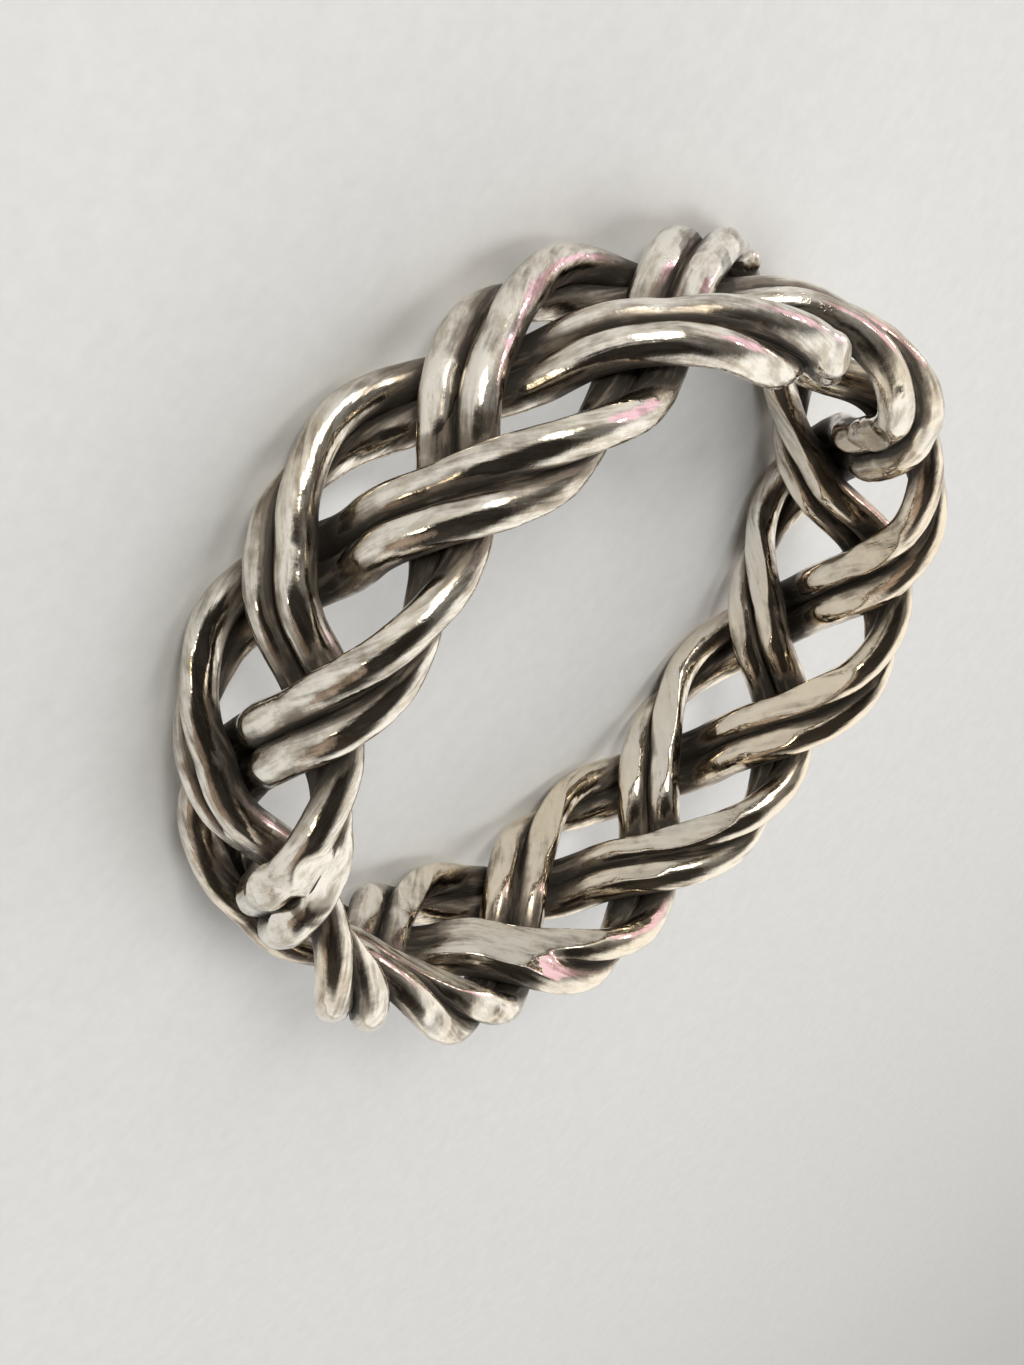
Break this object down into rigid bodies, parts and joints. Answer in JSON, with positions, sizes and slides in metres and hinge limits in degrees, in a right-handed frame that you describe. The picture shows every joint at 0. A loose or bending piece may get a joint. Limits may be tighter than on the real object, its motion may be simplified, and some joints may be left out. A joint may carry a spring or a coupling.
{
  "type": "braided band ring",
  "caption": "Finger ring with a band plaited from paired round wires, open between the strands, with a small flat field on its inner face.",
  "frame": {"origin": "centre of the finger hole, halfway across the band", "axes": "+Z along the finger, so that the ring lies on one rim; +X at the first fold of the upper rim"},
  "size_m": [0.022, 0.022, 0.0062],
  "materials": {
    "silver": "worn polished silver, darkened in the grooves"
  },
  "bodies": {
    "root": {"strand_a": "silver", "strand_b": "silver", "strand_c": "silver"}
  },
  "joints": []
}
